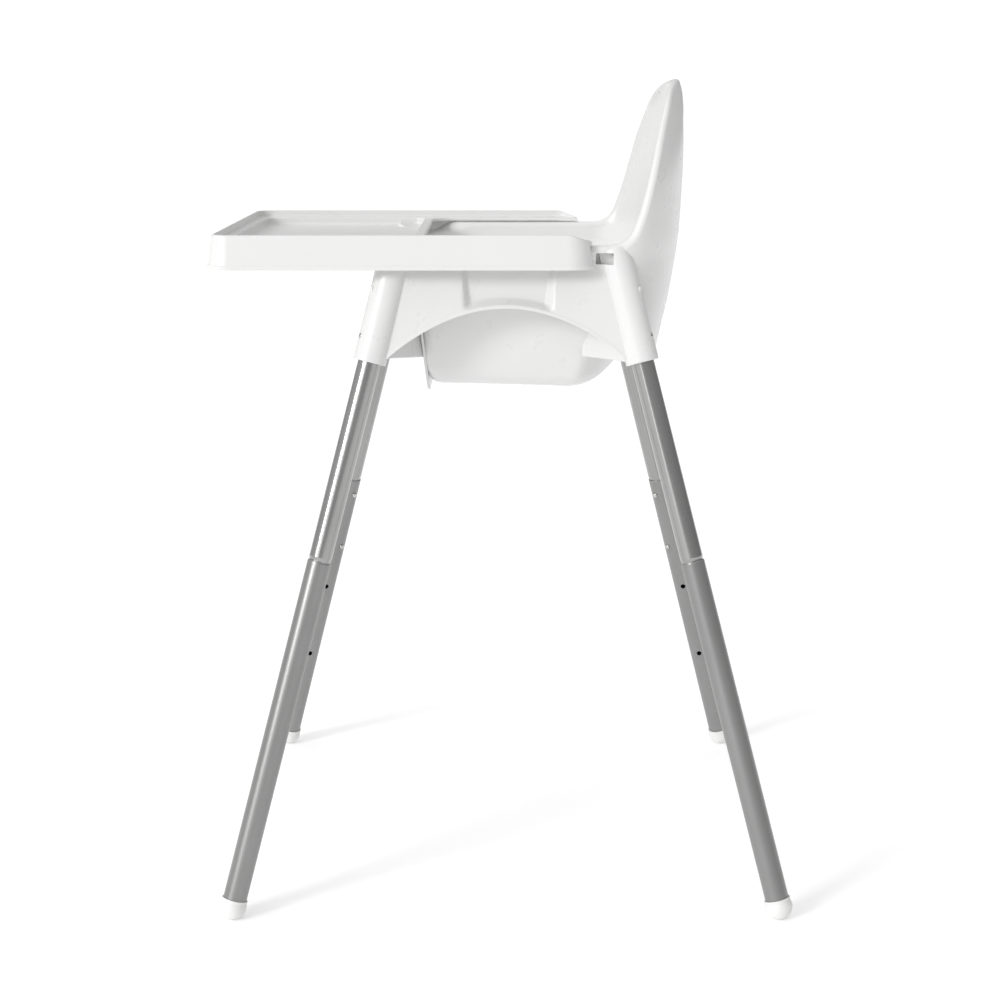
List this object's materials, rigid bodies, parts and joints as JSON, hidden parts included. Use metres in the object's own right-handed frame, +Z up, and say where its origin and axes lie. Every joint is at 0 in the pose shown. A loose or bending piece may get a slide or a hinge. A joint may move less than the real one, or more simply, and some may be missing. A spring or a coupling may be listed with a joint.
{
  "type": "baby high chair",
  "caption": "Baby high chair with a one-piece moulded bucket seat, a lift-off tray with a rim, and splayed two-piece tube legs held by snap buttons.",
  "frame": {"origin": "on the floor, under the middle of the chair", "axes": "+Z up, +Y towards the backrest, +X towards the seated child's left"},
  "size_m": [0.6172, 0.6211, 0.883],
  "materials": {
    "seat_plastic": "glossy white polypropylene",
    "tray_plastic": "glossy white polypropylene",
    "upper_tube": "gloss grey powder coat",
    "lower_tube": "satin grey powder coat",
    "foot_plastic": "satin white plastic",
    "steel_button": "bright nickel",
    "spring_steel": "plain spring steel"
  },
  "bodies": {
    "seat": {"seat_shell": "seat_plastic"},
    "tray": {"tray": "tray_plastic"},
    "upper_leg_front_left": {"upper_leg_front_left": "upper_tube", "joint_spring_front_left": "spring_steel", "socket_spring_front_left": "spring_steel"},
    "lower_leg_front_left": {"lower_leg_front_left": "lower_tube", "foot_cap_front_left": "foot_plastic"},
    "joint_button_high_front_left": {"joint_button_high_front_left": "steel_button"},
    "joint_button_low_front_left": {"joint_button_low_front_left": "steel_button"},
    "socket_button_front_left": {"socket_button_front_left": "steel_button"},
    "upper_leg_front_right": {"upper_leg_front_right": "upper_tube", "joint_spring_front_right": "spring_steel", "socket_spring_front_right": "spring_steel"},
    "lower_leg_front_right": {"lower_leg_front_right": "lower_tube", "foot_cap_front_right": "foot_plastic"},
    "joint_button_high_front_right": {"joint_button_high_front_right": "steel_button"},
    "joint_button_low_front_right": {"joint_button_low_front_right": "steel_button"},
    "socket_button_front_right": {"socket_button_front_right": "steel_button"},
    "upper_leg_rear_left": {"upper_leg_rear_left": "upper_tube", "joint_spring_rear_left": "spring_steel", "socket_spring_rear_left": "spring_steel"},
    "lower_leg_rear_left": {"lower_leg_rear_left": "lower_tube", "foot_cap_rear_left": "foot_plastic"},
    "joint_button_high_rear_left": {"joint_button_high_rear_left": "steel_button"},
    "joint_button_low_rear_left": {"joint_button_low_rear_left": "steel_button"},
    "socket_button_rear_left": {"socket_button_rear_left": "steel_button"},
    "upper_leg_rear_right": {"upper_leg_rear_right": "upper_tube", "joint_spring_rear_right": "spring_steel", "socket_spring_rear_right": "spring_steel"},
    "lower_leg_rear_right": {"lower_leg_rear_right": "lower_tube", "foot_cap_rear_right": "foot_plastic"},
    "joint_button_high_rear_right": {"joint_button_high_rear_right": "steel_button"},
    "joint_button_low_rear_right": {"joint_button_low_rear_right": "steel_button"},
    "socket_button_rear_right": {"socket_button_rear_right": "steel_button"}
  },
  "joints": [
    {"name": "tray_lift", "type": "slide", "parent": "seat", "child": "tray", "axis": [0, 0, 1], "range_m": [0, 0.1]},
    {"name": "upper_leg_front_left_pull", "type": "slide", "parent": "seat", "child": "upper_leg_front_left", "axis": [0.1543, -0.2462, -0.9569], "range_m": [0, 0.1], "deforming": ["socket_button_front_left"]},
    {"name": "lower_leg_front_left_pull", "type": "slide", "parent": "upper_leg_front_left", "child": "lower_leg_front_left", "axis": [0.1543, -0.2462, -0.9569], "range_m": [0, 0.12], "deforming": ["joint_button_high_front_left", "joint_button_low_front_left"]},
    {"name": "joint_button_high_front_left_press", "type": "slide", "parent": "upper_leg_front_left", "child": "joint_button_high_front_left", "axis": [0.6917, -0.6646, 0.2826], "range_m": [0, 0.0035], "stiffness_N_per_m": 3000, "springref_m": -0.001, "deforming": ["joint_spring_front_left"]},
    {"name": "joint_button_low_front_left_press", "type": "slide", "parent": "upper_leg_front_left", "child": "joint_button_low_front_left", "axis": [0.6917, -0.6646, 0.2826], "range_m": [0, 0.0035], "stiffness_N_per_m": 3000, "springref_m": -0.001},
    {"name": "socket_button_front_left_press", "type": "slide", "parent": "upper_leg_front_left", "child": "socket_button_front_left", "axis": [-0.3949, 0.8724, -0.2882], "range_m": [0, 0.0035], "stiffness_N_per_m": 3000, "springref_m": -0.001, "deforming": ["socket_spring_front_left"]},
    {"name": "upper_leg_front_right_pull", "type": "slide", "parent": "seat", "child": "upper_leg_front_right", "axis": [-0.1543, -0.2462, -0.9569], "range_m": [0, 0.1], "deforming": ["socket_button_front_right"]},
    {"name": "lower_leg_front_right_pull", "type": "slide", "parent": "upper_leg_front_right", "child": "lower_leg_front_right", "axis": [-0.1543, -0.2462, -0.9569], "range_m": [0, 0.12], "deforming": ["joint_button_high_front_right", "joint_button_low_front_right"]},
    {"name": "joint_button_high_front_right_press", "type": "slide", "parent": "upper_leg_front_right", "child": "joint_button_high_front_right", "axis": [-0.6917, -0.6646, 0.2826], "range_m": [0, 0.0035], "stiffness_N_per_m": 3000, "springref_m": -0.001, "deforming": ["joint_spring_front_right"]},
    {"name": "joint_button_low_front_right_press", "type": "slide", "parent": "upper_leg_front_right", "child": "joint_button_low_front_right", "axis": [-0.6917, -0.6646, 0.2826], "range_m": [0, 0.0035], "stiffness_N_per_m": 3000, "springref_m": -0.001},
    {"name": "socket_button_front_right_press", "type": "slide", "parent": "upper_leg_front_right", "child": "socket_button_front_right", "axis": [0.3949, 0.8724, -0.2882], "range_m": [0, 0.0035], "stiffness_N_per_m": 3000, "springref_m": -0.001, "deforming": ["socket_spring_front_right"]},
    {"name": "upper_leg_rear_left_pull", "type": "slide", "parent": "seat", "child": "upper_leg_rear_left", "axis": [0.1543, 0.2462, -0.9569], "range_m": [0, 0.1], "deforming": ["socket_button_rear_left"]},
    {"name": "lower_leg_rear_left_pull", "type": "slide", "parent": "upper_leg_rear_left", "child": "lower_leg_rear_left", "axis": [0.1543, 0.2462, -0.9569], "range_m": [0, 0.12], "deforming": ["joint_button_high_rear_left", "joint_button_low_rear_left"]},
    {"name": "joint_button_high_rear_left_press", "type": "slide", "parent": "upper_leg_rear_left", "child": "joint_button_high_rear_left", "axis": [0.6917, 0.6646, 0.2826], "range_m": [0, 0.0035], "stiffness_N_per_m": 3000, "springref_m": -0.001, "deforming": ["joint_spring_rear_left"]},
    {"name": "joint_button_low_rear_left_press", "type": "slide", "parent": "upper_leg_rear_left", "child": "joint_button_low_rear_left", "axis": [0.6917, 0.6646, 0.2826], "range_m": [0, 0.0035], "stiffness_N_per_m": 3000, "springref_m": -0.001},
    {"name": "socket_button_rear_left_press", "type": "slide", "parent": "upper_leg_rear_left", "child": "socket_button_rear_left", "axis": [-0.3949, -0.8724, -0.2882], "range_m": [0, 0.0035], "stiffness_N_per_m": 3000, "springref_m": -0.001, "deforming": ["socket_spring_rear_left"]},
    {"name": "upper_leg_rear_right_pull", "type": "slide", "parent": "seat", "child": "upper_leg_rear_right", "axis": [-0.1543, 0.2462, -0.9569], "range_m": [0, 0.1], "deforming": ["socket_button_rear_right"]},
    {"name": "lower_leg_rear_right_pull", "type": "slide", "parent": "upper_leg_rear_right", "child": "lower_leg_rear_right", "axis": [-0.1543, 0.2462, -0.9569], "range_m": [0, 0.12], "deforming": ["joint_button_high_rear_right", "joint_button_low_rear_right"]},
    {"name": "joint_button_high_rear_right_press", "type": "slide", "parent": "upper_leg_rear_right", "child": "joint_button_high_rear_right", "axis": [-0.6917, 0.6646, 0.2826], "range_m": [0, 0.0035], "stiffness_N_per_m": 3000, "springref_m": -0.001, "deforming": ["joint_spring_rear_right"]},
    {"name": "joint_button_low_rear_right_press", "type": "slide", "parent": "upper_leg_rear_right", "child": "joint_button_low_rear_right", "axis": [-0.6917, 0.6646, 0.2826], "range_m": [0, 0.0035], "stiffness_N_per_m": 3000, "springref_m": -0.001},
    {"name": "socket_button_rear_right_press", "type": "slide", "parent": "upper_leg_rear_right", "child": "socket_button_rear_right", "axis": [0.3949, -0.8724, -0.2882], "range_m": [0, 0.0035], "stiffness_N_per_m": 3000, "springref_m": -0.001, "deforming": ["socket_spring_rear_right"]}
  ]
}
